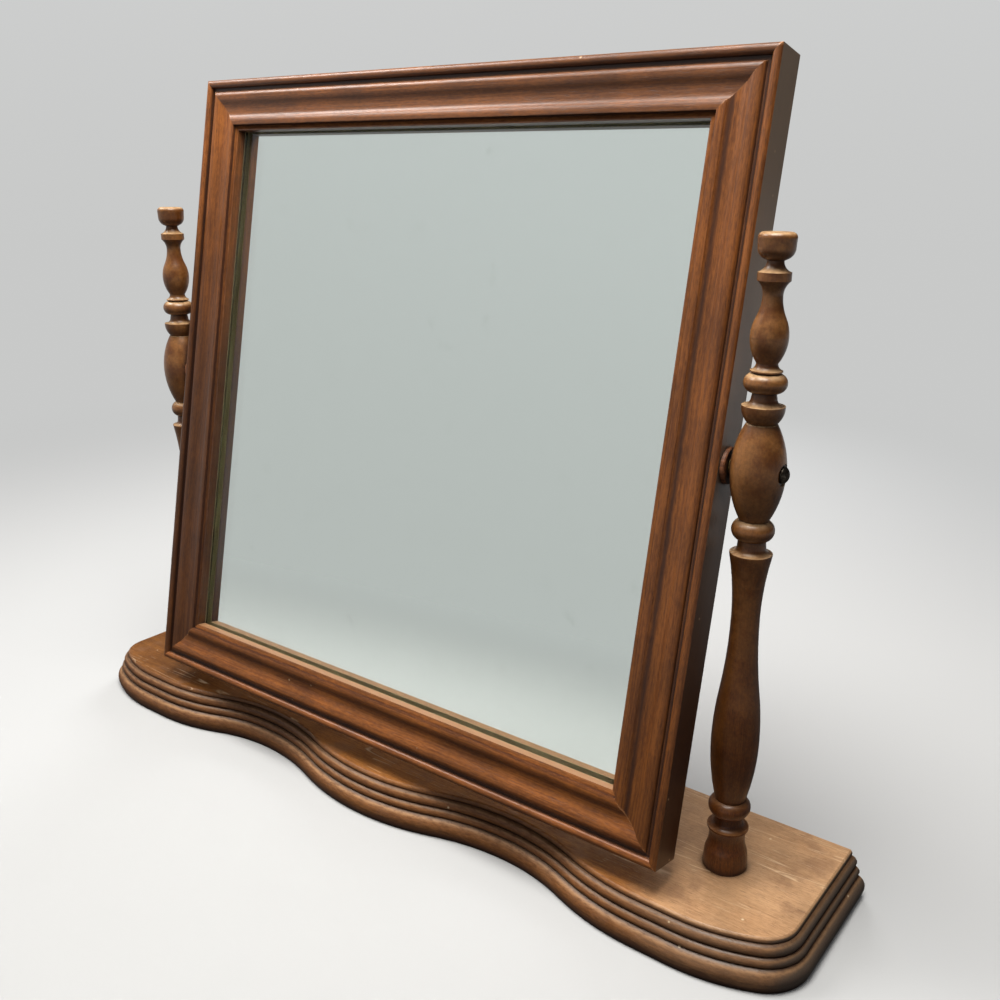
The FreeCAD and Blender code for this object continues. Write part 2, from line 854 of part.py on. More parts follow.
def build_spacer(name, side):
    """A turned wooden button on the frame's side, just clear of the washer."""
    length = washer_start() - cell("washer_thickness") - cell("turning_gap")
    bore = cell("pivot_radius") + cell("drive_slack")
    place = pivot_placement(side)
    body = build_ring(name, cell("spacer_radius"), bore, length, place)
    ease_rims(body, cell("spacer_radius"), cell("spacer_rim"))
    return body


def build_insert(name, side):
    """The sleeve in the stile that the pivot screw is threaded into."""
    length = cell("insert_length")
    bore = cell("pivot_radius") + cell("drive_slack")
    start = Placement(vector(-length, ZERO, ZERO), Rotation())
    place = pivot_placement(side) * start
    return build_ring(name, cell("insert_radius"), bore, length, place)


def build_pivot_screw(name, side):
    """Through the bulb into the frame, with a slotted dome outside the post."""
    body = new_body(name)
    across = cell("bulb_radius").times(2) - cell("seat_depth")
    neck = cell("pivot_gap") + across + cell("turning_gap")
    rim = neck + cell("pivot_head_rim")
    top = rim + cell("pivot_head_dome")
    radius = cell("pivot_radius")
    head = cell("pivot_head_radius")
    sketch = new_sketch(body, "section", "XZ_Plane")
    outline = Outline(sketch, -cell("pivot_reach"), ZERO)
    outline.go(-cell("pivot_reach"), radius)
    outline.go(neck, ZERO)
    outline.go(neck, head - radius)
    outline.go(rim, ZERO)
    outline.go(top, -head, "level_end")
    outline.close()
    turn(body, sketch, "Revolution", "H_Axis")
    cut_slot(body, "YZ_Plane", top, False)
    body.Placement = pivot_placement(side)
    return body


# --------------------------------------------------------------------- assembly

def build_all():
    parts = [build_base()]
    for side, word in ((-1, "left"), (1, "right")):
        parts.append(build_post("post_" + word, side))
        parts.append(build_post_screw("post_screw_" + word, side))
        parts.append(build_stile(word + "_stile", side))
        parts.append(build_insert("pivot_insert_" + word, side))
        parts.append(build_spacer("pivot_spacer_" + word, side))
        parts.append(build_washer("pivot_washer_" + word, side))
        parts.append(build_pivot_screw("pivot_screw_" + word, side))
    parts.append(build_rail("top_rail", 0))
    parts.append(build_rail("bottom_rail", 180))
    front = cell("rabbet_front")
    parts.append(build_pane("mirror_glass", "glass_thickness", front))
    behind = front + cell("glass_thickness")
    parts.append(build_pane("backing_board", "backing_thickness", behind))
    parts.append(build_nails())
    parts.append(build_brads())
    return parts


def check(parts):
    """Stop if any object failed to compute or any piece is not a sound solid."""
    for item in doc.Objects:
        if "Invalid" in item.State or "Error" in item.State:
            raise RuntimeError("%s did not compute: %s" % (item.Name, item.State))
    for part in parts:
        if part.Shape.isNull() or not part.Shape.isValid() or not part.Shape.Solids:
            raise RuntimeError("%s is not a sound solid" % part.Label)


def write(parts):
    os.makedirs("parts", exist_ok=True)
    for part in parts:
        part.Shape.exportStep("parts/%s.step" % part.Label)
        print(part.Label, len(part.Shape.Solids), round(part.Shape.Volume, 1))


fill_sheet()
pieces = build_all()
doc.recompute()
check(pieces)
write(pieces)
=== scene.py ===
import json
from math import cos, pi, radians, sin

import bpy
import numpy as np
from mathutils import Matrix, Vector


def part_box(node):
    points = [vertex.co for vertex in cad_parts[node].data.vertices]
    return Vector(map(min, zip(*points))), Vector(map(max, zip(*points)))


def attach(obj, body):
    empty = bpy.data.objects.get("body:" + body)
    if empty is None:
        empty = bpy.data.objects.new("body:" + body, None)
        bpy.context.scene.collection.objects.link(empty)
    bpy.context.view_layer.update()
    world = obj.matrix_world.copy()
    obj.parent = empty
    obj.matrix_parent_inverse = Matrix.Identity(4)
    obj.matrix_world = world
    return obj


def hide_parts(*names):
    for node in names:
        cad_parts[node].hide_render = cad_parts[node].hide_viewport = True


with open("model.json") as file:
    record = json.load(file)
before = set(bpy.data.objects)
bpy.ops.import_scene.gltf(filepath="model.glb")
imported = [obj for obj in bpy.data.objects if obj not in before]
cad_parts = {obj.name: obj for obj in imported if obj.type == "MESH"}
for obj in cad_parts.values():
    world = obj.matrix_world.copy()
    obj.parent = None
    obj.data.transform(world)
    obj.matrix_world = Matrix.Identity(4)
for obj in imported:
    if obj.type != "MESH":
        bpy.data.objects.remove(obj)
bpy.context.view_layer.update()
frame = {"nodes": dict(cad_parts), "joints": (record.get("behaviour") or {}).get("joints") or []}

# --------------------------------------------------------------- places and sizes

REST_TILT = radians(10.9)             # the mirror leans back by this at rest
PANE_ARRIS = 0.0004                   # the ground edge of the glass
COAT = 0.00008                        # the silver coat, paint and all
AIR = 0.00002                         # between the pane and its coat
PIVOT = Vector(frame["joints"][0]["pos_m"])
BASE_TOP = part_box("base_board")[1][2]
POST_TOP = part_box("post_left")[1][2]

QUIRK = (0.0042, 0.0056)              # across the moulding, inward from its outer edge
RISE = (0.0183, 0.0201)
RABBET = (0.0232, 0.0234)
STEP = (0.0249, 0.0256)
LIP = 0.0268
LEDGE = 0.0086                        # from the frame's front back to the glass
LEDGE_SOFT = 0.0002                   # how far an edge of each mark is softened
SIDE_SOFT = 0.0004
LIP_SOFT = 0.0008
QUIRK_SOFT, STEP_SOFT, RISE_SOFT = 0.0007, 0.0004, 0.0009
DULL_SOFT = 0.0003
POLISH_AND_SHADE_SWAY = 0.0008                  # how far the lines of gathered polish and painted shade stray to and fro

GROOVES = (0.0027, 0.0077, 0.012)     # between the base's reeds, down from its top
GROOVE_HALF, GROOVE_SOFT = 0.0007, 0.0005
FLAT_EDGE = (0.0012, 0.0004)          # how far down the flat top gives way to the reeds
UNDER_REACH = 0.007                   # how high the worn underside reaches up the nose
UNDER_SOFT = (-0.0002, 0.0006)
AMBER_LEFT = (-0.2, 0.17)             # in x: where amber fades out to the right
AMBER_LEFT_SHADE = (-0.2, 0.02)            # in x: painted shade, where the amber is darker
AMBER_SHADOW_FRONT = (-0.036, 0.0)           # in y: the amber strip along the front, a painted shadow of the frame warmed by light bounced off the wood
AMBER_SHADOW_SIDE = (0.14, 0.2)              # in x: where that strip ends
REED_SHADE_LEFT = (-0.2, 0.1)               # in x: painted shade, where the reeds are a little darker
REED_SHADE_RIGHT = (0.1, 0.21)              # in x: painted shade, where they darken again

GRAIN_DEPTH = 0.00004                 # the heights of the finishes' relief
SCRATCH_DEPTH = 0.00006
FIBRE_DEPTH = 0.00008
GRIT_DEPTH = 0.00001

CAMERA = Vector((0.3537, -0.394, 0.3307))
CAMERA_YAW = 0.6414
CAMERA_PITCH = -0.3033
CAMERA_ROLL = 0.0087
LENS = 37.45
SENSOR = 36.0
CLIP_START = 0.01

FLOOR_RADIUS = 6.0
FLOOR_RINGS = 23
FLOOR_SPOKES = 96
GLOW = (0.32, 1.15)                   # the floor's glow begins and is full, from its middle

LAMP_AIM = (0, 0, 0.15)
LAMPS = (                             # name, place, size, watts, colour, highlights
    ("window", (0.1, -0.16, 1.05), 0.5, 13.0, (1, 0.985, 0.95), True),
    ("second", (-0.75, -0.2, 1.1), 0.4, 8.0, (1, 0.985, 0.96), True),
    ("back", (-0.45, 1.0, 0.5), 0.5, 7.0, (0.97, 0.98, 1), False))
BRIGHT_SIDE = (-0.57, -0.82, 0.0)     # the way in which the surround is brightest


# ------------------------------------------------------------------------ colours

def linear(red, green, blue):
    """A screen colour from 0 to 255 as the linear colour that a shader takes."""
    screen = np.array((red, green, blue)) / 255.0
    low = screen / 12.92
    high = ((screen + 0.055) / 1.055) ** 2.4
    return tuple(np.where(screen <= 0.04045, low, high)) + (1.0,)


PORE = (0.012, 0.006, 0.003, 1)
FRAME_LIGHT, FRAME_DARK = linear(148, 87, 36), linear(108, 58, 20)
# gathered polish and painted shade in the quirk, at the step and under the ogee
POLISH_AND_SHADE = linear(44, 17, 5)
# dark in the hollows: grime and painted shade
OLD_GRIME_AND_SHADE = linear(34, 13, 3)
FRAME_WORN = linear(200, 140, 92)
FRAME_SPECK = linear(214, 180, 140)
# the outer sides: painted shade low down, painted sheen high up
SIDE_SHADE, SIDE_SHEEN = linear(50, 22, 9), linear(168, 148, 128)
# painted highlight on the lip's upward faces, broken by rubbing
LIP_RUB_AND_LIGHT = linear(160, 118, 82)
# the ledge beside the glass painted pale, standing in for lamp light that the glass keeps from
# it
LEDGE_PAINTED_LIGHT = linear(180, 166, 124)
POST_LIGHT, POST_DARK = linear(104, 57, 18), linear(74, 36, 9)
PATCH_LIGHT, PATCH_DARK = linear(156, 106, 58), linear(106, 62, 26)
POST_WORN = linear(190, 140, 90)
# painted highlight on the posts' upward ledges, paler higher up
LEDGE_LIGHT_LOW, LEDGE_LIGHT_HIGH = linear(120, 76, 38), linear(206, 168, 124)
CREAM_LIGHT, CREAM_DARK = linear(190, 151, 113), linear(172, 132, 94)
AMBER_LIGHT, AMBER_DARK = linear(164, 106, 50), linear(124, 74, 30)
WATER_STAIN = linear(126, 90, 64)
REED_LIGHT, REED_DARK = linear(140, 92, 54), linear(86, 48, 22)
# painted highlight and rubbing along the reeds' crests
CREST_RUB_AND_HIGHLIGHT = linear(184, 138, 94)
# grime and painted shade in the reeds' grooves
GROOVE_GRIME_AND_SHADE = linear(52, 28, 12)
WORN_UNDER = linear(104, 64, 38)
# end grain, darkened further as painted shade
END_GRAIN_AND_SHADE = linear(74, 66, 58)
# dark in the base's hollows: grime and painted shade
BASE_GRIME_AND_SHADE = linear(44, 20, 6)
BASE_WORN = linear(200, 160, 118)
BASE_SPECK = linear(230, 208, 172)
DENT = linear(96, 66, 44)
SCRATCH = linear(222, 190, 152)
BUTTON_LIGHT, BUTTON_DARK = linear(136, 82, 48), linear(88, 50, 27)
BUTTON_DIRT = linear(26, 13, 7)
BUTTON_WORN = linear(150, 100, 60)
STEEL, DULL_STEEL = linear(96, 88, 78), linear(48, 40, 34)
BRASS, DULL_BRASS = linear(170, 140, 84), linear(98, 76, 44)
METAL_DIRT = (0.01, 0.008, 0.006, 1)
BOARD_LIGHT, BOARD_DARK = linear(142, 106, 72), linear(112, 80, 52)
BOARD_CLOUD = linear(96, 70, 48)
GLASS_TINT = (0.955, 0.985, 0.97, 1)
SILVER, DULL_SILVER = (0.86, 0.875, 0.865, 1), (0.62, 0.64, 0.6, 1)
PAPER = (0.5, 0.5, 0.497, 1)
TABLE = (0.06, 0.06, 0.06, 1)         # the floor as the object's lighting meets it
BACKGROUND = (0.58, 0.585, 0.58, 1)
OVERHEAD = (0.78, 0.79, 0.8, 1)
SOFT_LOW, SOFT_HIGH = (0.03, 0.03, 0.031, 1), (0.34, 0.34, 0.345, 1)
GLOSS_LOW = (0.05, 0.05, 0.052, 1)


# ------------------------------------------------------------- the upright frame

def tilted(points, angle):
    """Turn rows of points about the x axis."""
    c, s = cos(angle), sin(angle)
    turn = np.array(((1, 0, 0), (0, c, -s), (0, s, c)))
    return points @ turn.T


def upright_box(name):
    """A tilted node's lowest and highest corners about the pivot, once it is upright."""
    mesh = frame["nodes"][name].data
    flat = np.empty(len(mesh.vertices) * 3)
    mesh.vertices.foreach_get("co", flat)
    points = tilted(flat.reshape(-1, 3) - np.array(PIVOT), REST_TILT)
    return points.min(axis=0), points.max(axis=0)


FRAME_LOW, FRAME_HIGH = upright_box("left_stile")
FRAME_HIGH[0] = upright_box("right_stile")[1][0]


# ------------------------------------------------------------------ node helpers

def join(tree, sockets, inputs):
    """Give each named socket a constant, or join another node's output to it."""
    for name, value in inputs.items():
        if isinstance(value, bpy.types.NodeSocket):
            tree.links.new(value, sockets[name])
        else:
            sockets[name].default_value = value


def node(tree, kind, inputs=None, **settings):
    made = tree.nodes.new("ShaderNode" + kind)
    for name, value in settings.items():
        setattr(made, name, value)
    join(tree, made.inputs, inputs or {})
    return made


def math(tree, operation, first, second=0.0, clamp=False):
    made = node(tree, "Math", {0: first, 1: second}, operation=operation, use_clamp=clamp)
    return made.outputs[0]


def span(tree, value, low, high, to_low=0.0, to_high=1.0):
    """The value's place between two limits, smoothed and held at both ends."""
    made = node(tree, "MapRange", {
        "Value": value, "From Min": low, "From Max": high,
        "To Min": to_low, "To Max": to_high}, interpolation_type="SMOOTHSTEP")
    return made.outputs["Result"]


def band(tree, value, low, high, soft):
    """One between two limits and nothing beyond them, with soft edges."""
    rise = span(tree, value, low - soft, low + soft)
    fall = span(tree, value, high - soft, high + soft, 1.0, 0.0)
    return math(tree, "MULTIPLY", rise, fall)


def blend(tree, amount, first, second, how="MIX"):
    made = node(tree, "Mix", {0: amount, 6: first, 7: second},
                data_type="RGBA", blend_type=how)
    return made.outputs[2]


def laid(tree, colour, other, mask, share=1.0):
    """Lay another colour over this one where the mask says, at a share of its strength."""
    return blend(tree, math(tree, "MULTIPLY", mask, share), colour, other)


def toned(tree, colour, tone):
    """Darken or lighten a colour by a tone, where one leaves it as it is."""
    grey = node(tree, "CombineColor", {0: tone, 1: tone, 2: tone}).outputs[0]
    return blend(tree, 1.0, colour, grey, "MULTIPLY")


def noise(tree, place, scale, detail=3.0, roughness=0.55):
    made = node(tree, "TexNoise", {
        "Vector": place, "Scale": scale, "Detail": detail, "Roughness": roughness})
    return made.outputs["Fac"]


def split(tree, vector):
    return node(tree, "SeparateXYZ", {0: vector}).outputs


def stretched(tree, place, factors):
    made = node(tree, "Mapping", {"Vector": place, "Scale": factors})
    return made.outputs["Vector"]


def turned(tree, place, centre, rotation):
    """Coordinates about a centre, turned by an XYZ rotation."""
    at_centre = node(tree, "Mapping", {"Vector": place, "Location": -Vector(centre)})
    spun = node(tree, "Mapping", {
        "Vector": at_centre.outputs["Vector"], "Rotation": rotation})
    return spun.outputs["Vector"]


def upward(tree, normal):
    """How squarely a surface faces up, from nothing at half way to one when level."""
    return span(tree, split(tree, normal)["Z"], 0.35, 0.9)


def relief(tree, height, distance):
    made = node(tree, "Bump", {"Height": height, "Distance": distance})
    return made.outputs["Normal"]


def new_group(name, inputs, outputs):
    """An empty shader group; inputs are (name, kind, default) and outputs (name, kind)."""
    group = bpy.data.node_groups.new(name, "ShaderNodeTree")
    for label, kind, default in inputs:
        socket = group.interface.new_socket(
            label, in_out="INPUT", socket_type="NodeSocket" + kind)
        if default is not None:
            socket.default_value = default
    for label, kind in outputs:
        group.interface.new_socket(
            label, in_out="OUTPUT", socket_type="NodeSocket" + kind)
    start = group.nodes.new("NodeGroupInput")
    end = group.nodes.new("NodeGroupOutput")
    return group, start.outputs, end.inputs


def use(tree, group, inputs):
    """Place a shader group in a material with values of its own."""
    made = tree.nodes.new("ShaderNodeGroup")
    made.node_tree = group
    join(tree, made.inputs, inputs)
    return made.outputs


# ----------------------------------------------------------------- shared effects

def make_stained_wood():
    """Stained wood with its grain along the x of Along: broad bands, streaks and pores."""
    group, given, out = new_group(
        "stained wood",
        [("Place", "Vector", None), ("Along", "Vector", None), ("Light", "Color", None),
         ("Dark", "Color", None), ("Streaks", "Float", 900.0), ("Waver", "Float", 0.35),
         ("Bands", "Float", 0.25)],
        [("Colour", "Color"), ("Relief", "Float")])
    streaks = given["Streaks"]
    sway = noise(group, stretched(group, given["Along"], (6, 14, 14)), 1.0, 2.0)
    shift = math(group, "MULTIPLY", math(group, "SUBTRACT", sway, 0.5), given["Waver"])
    shift = math(group, "MULTIPLY", shift, 0.012)
    aside = node(group, "CombineXYZ", {"Y": shift, "Z": shift}).outputs[0]
    swayed = node(group, "VectorMath", {0: given["Along"], 1: aside},
                  operation="ADD").outputs[0]
    fine = noise(group, stretched(group, swayed, (0.03, 1, 1)), streaks, 5.0, 0.6)
    broad = noise(group, stretched(group, swayed, (0.08, 1, 1)),
                  math(group, "MULTIPLY", streaks, 0.16), 2.0)
    fibres = noise(group, stretched(group, swayed, (0.22, 1, 1)),
                   math(group, "MULTIPLY", streaks, 1.2), 3.0, 0.7)
    both = math(group, "ADD", math(group, "MULTIPLY", fine, 0.4),
                math(group, "MULTIPLY", broad, given["Bands"]))
    both = math(group, "ADD", both, math(group, "MULTIPLY", fibres, 0.35))
    middle = math(group, "ADD", math(group, "MULTIPLY", given["Bands"], 0.5), 0.375)
    tone = span(group, math(group, "SUBTRACT", both, middle), -0.1, 0.1)
    dashes = noise(group, stretched(group, swayed, (0.055, 1, 1)),
                   math(group, "MULTIPLY", streaks, 2.6), 1.0)
    pores = span(group, dashes, 0.63, 0.72)
    colour = blend(group, tone, given["Dark"], given["Light"])
    colour = laid(group, colour, blend(group, 0.45, given["Dark"], PORE), pores, 0.75)
    mottle = span(group, noise(group, given["Place"], 38.0, 3.0), 0.32, 0.68, 0.82, 1.14)
    join(group, out, {
        "Colour": toned(group, colour, mottle),
        "Relief": math(group, "SUBTRACT", math(group, "MULTIPLY", fine, 0.4), pores)})
    return group


def make_age_and_shade():
    """Old grime and painted shade in the hollows, and wear along raised edges, both broken up.
    """
    group, given, out = new_group(
        "hollows and edges",
        [("Place", "Vector", None), ("Colour", "Color", None), ("Grime And Shade Colour", "Color", None),
         ("Worn Colour", "Color", None), ("Grime And Shade Share", "Float", 0.9),
         ("Wear Share", "Float", 0.6), ("Hollow Reach", "Float", 0.004),
         ("Edge Reach", "Float", 0.0012)],
        [("Colour", "Color"), ("Grime And Shade", "Float")])
    # occlusion darkens the hollows: grime and painted shade
    shade = node(group, "AmbientOcclusion", {"Distance": given["Hollow Reach"]}, samples=8)
    edge = node(group, "AmbientOcclusion", {"Distance": given["Edge Reach"]},
                samples=8, inside=True)
    patches = noise(group, given["Place"], 90.0, 4.0, 0.65)
    crumbs = noise(group, given["Place"], 900.0, 3.0)
    hollow = math(group, "SUBTRACT", 1.0, shade.outputs["AO"])
    uneven = math(group, "ADD", hollow, math(group, "MULTIPLY", patches, 0.16))
    grime_and_shade = span(group, uneven, 0.22, 0.72)
    raised = math(group, "SUBTRACT", 1.0, edge.outputs["AO"])
    rubbed = math(group, "MULTIPLY", raised, span(group, patches, 0.34, 0.62))
    nibbled = math(group, "MULTIPLY", rubbed, span(group, crumbs, 0.3, 0.55, 0.5, 1.0))
    wear = span(group, nibbled, 0.22, 0.62)
    colour = laid(group, given["Colour"], given["Grime And Shade Colour"], grime_and_shade, given["Grime And Shade Share"])
    colour = laid(group, colour, given["Worn Colour"], wear, given["Wear Share"])
    join(group, out, {"Colour": colour, "Grime And Shade": grime_and_shade})
    return group


def make_flecks():
    """A few pale specks and small chips, round and far apart."""
    group, given, out = new_group(
        "flecks",
        [("Place", "Vector", None), ("Spacing", "Float", 220.0), ("Share", "Float", 0.06)],
        [("Mask", "Float")])
    cells = node(group, "TexVoronoi", {
        "Vector": given["Place"], "Scale": given["Spacing"]}, feature="F1")
    pick = node(group, "SeparateColor", {"Color": cells.outputs["Color"]}).outputs[0]
    chosen = math(group, "LESS_THAN", pick, given["Share"])
    near = span(group, cells.outputs["Distance"], 0.05, 0.13, 1.0, 0.0)
    join(group, out, {"Mask": math(group, "MULTIPLY", chosen, near)})
    return group


def make_scratches():
    """Thin scratches along a turned x axis, in patches, where slow waves cross half way."""
    group, given, out = new_group(
        "scratches",
        [("Place", "Vector", None), ("Turn", "Float", 0.3), ("Share", "Float", 0.5)],
        [("Mask", "Float")])
    spin = node(group, "CombineXYZ", {"Z": given["Turn"]}).outputs[0]
    lines = node(group, "Mapping", {
        "Vector": given["Place"], "Rotation": spin, "Scale": (7, 150, 150)})
    waves = noise(group, lines.outputs["Vector"], 1.0, 0.0)
    off = math(group, "ABSOLUTE", math(group, "SUBTRACT", waves, 0.5))
    thin = span(group, off, 0.0, 0.014, 1.0, 0.0)
    where = noise(group, given["Place"], 65.0, 2.0)
    patchy = span(group, where, given["Share"], math(group, "ADD", given["Share"], 0.1))
    join(group, out, {"Mask": math(group, "MULTIPLY", thin, patchy)})
    return group


def make_shade_along():
    """Painted light and shade: a colour darkened or lightened by how far a distance lies between
    two limits.
    """
    group, given, out = new_group(
        "shade along",
        [("Colour", "Color", None), ("Distance", "Float", 0.0), ("Start", "Float", 0.0),
         ("End", "Float", 1.0), ("Start Tone", "Float", 1.0), ("End Tone", "Float", 1.0)],
        [("Colour", "Color")])
    tone = span(group, given["Distance"], given["Start"], given["End"],
                given["Start Tone"], given["End Tone"])
    join(group, out, {"Colour": toned(group, given["Colour"], tone)})
    return group


def make_moulding_marks():
    """The lines that run along the moulding, each a mask by its place across it.

    Gathered polish and painted shade darken the quirk and the lip's step, and painted shade
    darkens the rise under the ogee.  The lip has a painted highlight, broken by rubbing, where
    it faces up; the ledge beside the glass is painted pale as painted light; the frame's outer
    sides carry a painted sheen high up and painted shade low down; and the strip from the step
    to the lip is dull.
    """
    group, given, out = new_group(
        "moulding marks",
        [("Place", "Vector", None), ("Across", "Float", 0.0), ("Normal", "Vector", None),
         ("Relief", "Float", 0.0), ("Ogee Shade", "Float", 0.0)],
        [("Polish And Shade", "Float"), ("Lip", "Float"), ("Ledge", "Float"), ("Side", "Float"),
         ("Dull", "Float")])
    across = given["Across"]
    sway = math(group, "MULTIPLY", noise(group, given["Place"], 130.0), POLISH_AND_SHADE_SWAY)
    sway = math(group, "SUBTRACT", sway, POLISH_AND_SHADE_SWAY / 2)
    swayed = math(group, "ADD", across, sway)
    # gathered polish and painted shade in the quirk and at the lip's step
    quirk = band(group, swayed, *QUIRK, QUIRK_SOFT)
    step = math(group, "MULTIPLY", band(group, swayed, *STEP, STEP_SOFT), 0.9)
    # painted shade on the rise under the ogee
    rise = math(group, "MULTIPLY", band(group, swayed, *RISE, RISE_SOFT),
                given["Ogee Shade"])
    lip = math(group, "MULTIPLY", span(group, across, LIP - LIP_SOFT, LIP),
               upward(group, given["Normal"]))
    rubbed = span(group, given["Relief"], -0.5, 0.3, 0.5, 0.9)
    depth = split(group, given["Place"])["Y"]
    ledge = FRAME_LOW[1] + LEDGE
    outward = math(group, "ABSOLUTE", split(group, given["Normal"])["X"])
    join(group, out, {
        "Polish And Shade": math(group, "MAXIMUM", quirk, math(group, "MAXIMUM", step, rise)),
        "Lip": math(group, "MULTIPLY", lip, rubbed),
        "Ledge": math(group, "MULTIPLY", span(group, depth, ledge - LEDGE_SOFT, ledge),
                      span(group, across, *RABBET)),
        "Side": math(group, "MULTIPLY", span(group, outward, 0.8, 0.97),
                     span(group, across, 0.0, SIDE_SOFT, 0.8, 0.0)),
        "Dull": band(group, across, STEP[0], LIP + DULL_SOFT, DULL_SOFT)})
    return group


def make_turning_marks():
    """A turning's uneven patches, crumbs of finish, upward ledges broken by rubbing for a
    painted highlight, and lathe rings.
    """
    group, given, out = new_group(
        "turning marks",
        [("Place", "Vector", None), ("Normal", "Vector", None)],
        [("Patches", "Float"), ("Crumbs", "Float"), ("Ledges", "Float"), ("Rings", "Float")])
    place = given["Place"]
    rubbed = span(group, noise(group, place, 260.0, 4.0, 0.65), 0.3, 0.6, 0.3, 1.0)
    join(group, out, {
        "Patches": span(group, noise(group, place, 90.0, 4.0, 0.6), 0.36, 0.64),
        "Crumbs": span(group, noise(group, place, 700.0, 4.0, 0.7), 0.3, 0.7, 0.8, 1.16),
        "Ledges": math(group, "MULTIPLY", upward(group, given["Normal"]), rubbed),
        "Rings": noise(group, stretched(group, place, (3, 3, 1)), 1600.0, 1.0)})
    return group


def make_tarnish():
    """Old metal's colour, gloss and grit, varied by patches of tarnish."""
    group, given, out = new_group(
        "tarnish",
        [("Place", "Vector", None), ("Bright", "Color", None), ("Dull", "Color", None),
         ("Roughness", "Float", 0.3)],
        [("Colour", "Color"), ("Roughness", "Float"), ("Grit", "Float")])
    patches = span(group, noise(group, given["Place"], 700.0, 4.0, 0.6), 0.36, 0.62)
    rougher = math(group, "ADD", given["Roughness"], 0.2)
    join(group, out, {
        "Colour": blend(group, patches, given["Bright"], given["Dull"]),
        "Roughness": span(group, patches, 0.0, 1.0, given["Roughness"], rougher),
        "Grit": noise(group, given["Place"], 3000.0, 2.0)})
    return group


STAINED_WOOD = make_stained_wood()
AGE_AND_SHADE = make_age_and_shade()
FLECKS = make_flecks()
SCRATCHES = make_scratches()
SHADE_ALONG = make_shade_along()
MOULDING_MARKS = make_moulding_marks()
TURNING_MARKS = make_turning_marks()
TARNISH = make_tarnish()


# ---------------------------------------------------------------------- finishes

def new_finish(name):
    """A material, its nodes, its Principled shader and its texture coordinates."""
    finish = bpy.data.materials.new(name)
    finish.use_nodes = True
    tree = finish.node_tree
    return finish, tree, tree.nodes["Principled BSDF"], node(tree, "TexCoord").outputs


def shade_along(tree, colour, distance, start, end, start_tone, end_tone):
    return use(tree, SHADE_ALONG, {
        "Colour": colour, "Distance": distance, "Start": start, "End": end,
        "Start Tone": start_tone, "End Tone": end_tone})["Colour"]


def edge_distance(tree, parts, upright):
    """How far a place on the frame lies inward from the frame's outer edge."""
    axis, number = ("X", 0) if upright else ("Z", 2)
    centre = (FRAME_LOW[number] + FRAME_HIGH[number]) / 2
    half = (FRAME_HIGH[number] - FRAME_LOW[number]) / 2
    off = math(tree, "ABSOLUTE", math(tree, "SUBTRACT", parts[axis], centre))
    return math(tree, "SUBTRACT", half, off)


def frame_finish(name, upright, grain_start, low_end_light, high_end_light, coat=0.15,
                 coat_rough=0.3, ogee_shade=0.0):
    """Brown stained moulding under satin lacquer, grain along the member.

    The end lights are painted light and shade: the tones of its low and high end, or of its left
    and right end.
    """
    finish, tree, shader, at = new_finish(name)
    flat = turned(tree, at["Object"], PIVOT, (REST_TILT, 0, 0))
    turn = (0, radians(90), 0) if upright else (0, 0, 0)
    wood = use(tree, STAINED_WOOD, {
        "Place": flat, "Along": turned(tree, flat, [grain_start] * 3, turn),
        "Light": FRAME_LIGHT, "Dark": FRAME_DARK,
        "Streaks": 1150.0, "Waver": 0.3, "Bands": 0.1})
    parts = split(tree, flat)
    length = parts["Z" if upright else "X"]
    reach = FRAME_HIGH[2] if upright else FRAME_HIGH[0]
    start = -0.1 * reach if upright else -reach
    across = edge_distance(tree, parts, upright)
    marks = use(tree, MOULDING_MARKS, {
        "Place": flat, "Across": across, "Normal": at["Normal"],
        "Relief": wood["Relief"], "Ogee Shade": ogee_shade})
    # painted light and shade: the member lighter or darker from one end to the other
    colour = shade_along(tree, wood["Colour"], length, start, reach, low_end_light, high_end_light)
    # gathered polish and painted shade along the moulding's lines
    colour = laid(tree, colour, POLISH_AND_SHADE, marks["Polish And Shade"], 0.85)
    aged_and_shaded = use(tree, AGE_AND_SHADE, {
        "Place": flat, "Colour": colour, "Grime And Shade Colour": OLD_GRIME_AND_SHADE,
        "Worn Colour": FRAME_WORN, "Hollow Reach": 0.0035})
    # painted sheen high on the outer sides and painted shade low on them
    faint = blend(tree, span(tree, length, -reach, reach), SIDE_SHADE, SIDE_SHEEN)
    colour = laid(tree, aged_and_shaded["Colour"], faint, marks["Side"])
    # painted highlight on the lip where it faces up, broken by rubbing
    colour = laid(tree, colour, LIP_RUB_AND_LIGHT, marks["Lip"])
    # painted light on the ledge beside the glass
    colour = laid(tree, colour, LEDGE_PAINTED_LIGHT, marks["Ledge"])
    specks = use(tree, FLECKS, {"Place": flat, "Spacing": 170.0, "Share": 0.05})["Mask"]
    colour = laid(tree, colour, FRAME_SPECK, specks, 0.7)
    dull = math(tree, "ADD", math(tree, "MULTIPLY", aged_and_shaded["Grime And Shade"], 0.25), marks["Dull"])
    gloss = math(tree, "SUBTRACT", 1.0, dull, clamp=True)
    join(tree, shader.inputs, {
        "Base Color": colour,
        "Roughness": math(tree, "ADD", span(tree, wood["Relief"], -0.4, 0.4, 0.46, 0.36),
                          dull),
        "Specular IOR Level": 0.4,
        "Coat Weight": math(tree, "MULTIPLY", gloss, coat),
        "Coat Roughness": coat_rough,
        "Normal": relief(tree, wood["Relief"], GRAIN_DEPTH)})
    return finish


